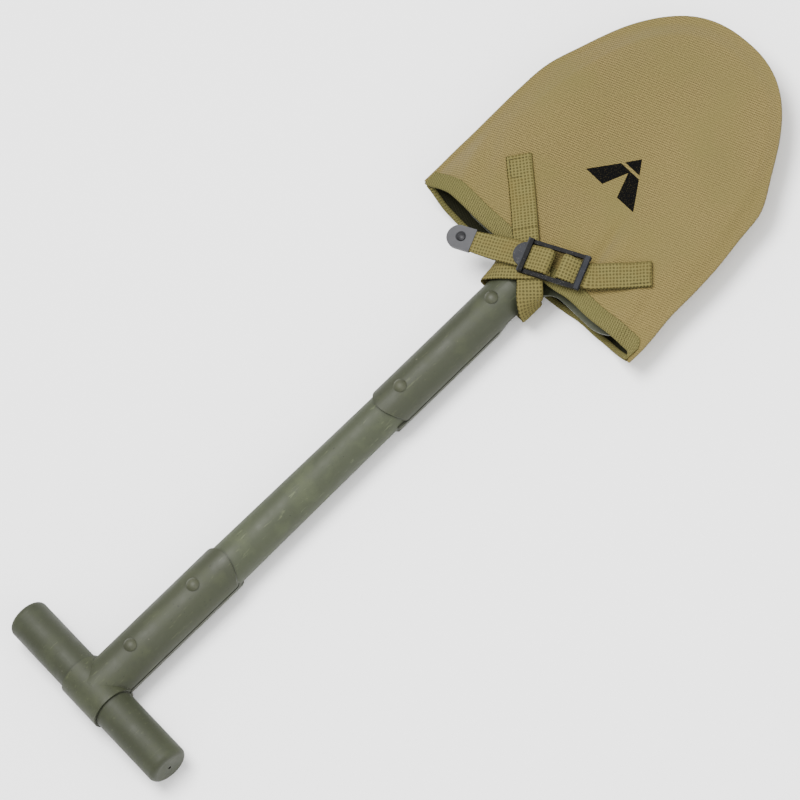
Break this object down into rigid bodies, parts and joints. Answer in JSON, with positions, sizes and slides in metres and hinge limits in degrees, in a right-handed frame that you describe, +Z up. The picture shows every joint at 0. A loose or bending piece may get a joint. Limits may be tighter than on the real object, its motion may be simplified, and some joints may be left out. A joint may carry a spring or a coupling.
{
  "type": "camp shovel",
  "caption": "T-handled camp shovel with a dished, pointed blade inside a strapped and buckled canvas cover with a belt hook.",
  "frame": {"origin": "middle of the object's box, on the ground it lies on", "axes": "+X along the handle towards the blade's point, +Z up out of the dished face of the blade, Y across"},
  "size_m": [0.56, 0.18, 0.0402],
  "materials": {
    "wood_paint": "semi-matte olive drab paint over turned wood, scuffed",
    "grip_paint": "semi-matte olive drab paint over turned wood, chipped at the ends",
    "strap_paint": "semi-matte olive drab paint on pressed steel",
    "rivet_paint": "olive drab paint worn on the heads",
    "blade_paint": "semi-matte olive drab paint on pressed steel, scuffed",
    "canvas": "khaki cotton duck, matte",
    "hem_canvas": "greener khaki turned hem, stitched",
    "webbing": "coarse khaki cotton webbing",
    "black_steel": "blackened steel, worn on the edges",
    "tip_steel": "dull grey phosphated steel",
    "hook_wire": "dark oxidised wire"
  },
  "bodies": {
    "shovel": {"handle_shaft": "wood_paint", "t_grip": "grip_paint", "grip_strap": "strap_paint", "grip_strap_rivets": "rivet_paint", "blade": "blade_paint", "back_socket_strap": "strap_paint", "socket_rivets": "rivet_paint", "frog_rivets": "rivet_paint"},
    "cover": {"cover_front_panel": "canvas", "cover_back_panel": "canvas", "front_mouth_hem": "hem_canvas", "back_mouth_hem": "hem_canvas", "strap_anchor": "webbing", "neck_strap": "webbing", "buckle_chape": "webbing", "hook_tab": "webbing"},
    "buckle": {"buckle_frame": "black_steel", "chape_loop": "webbing", "strap_fold": "webbing"},
    "tail": {"strap_end": "webbing", "strap_tip": "tip_steel"},
    "hook": {"belt_hook": "hook_wire"}
  },
  "joints": [
    {"name": "cover_slide", "type": "slide", "parent": "shovel", "child": "cover", "axis": [1, 0, 0], "range_m": [0, 0.2], "deforming": ["neck_strap"]},
    {"name": "buckle_lift", "type": "hinge", "parent": "cover", "child": "buckle", "pos_m": [0.11235, -0.03708, 0.0358], "axis": [0.9078, 0.4195, 0], "range_deg": [0, 40]},
    {"name": "tail_lift", "type": "hinge", "parent": "buckle", "child": "tail", "pos_m": [0.09129, 0.00849, 0.03795], "axis": [0.9078, 0.4195, 0], "range_deg": [0, 60]},
    {"name": "hook_swing", "type": "hinge", "parent": "cover", "child": "hook", "pos_m": [0.248, 0, 0.0051], "axis": [0, 1, 0], "range_deg": [0, 90]}
  ]
}
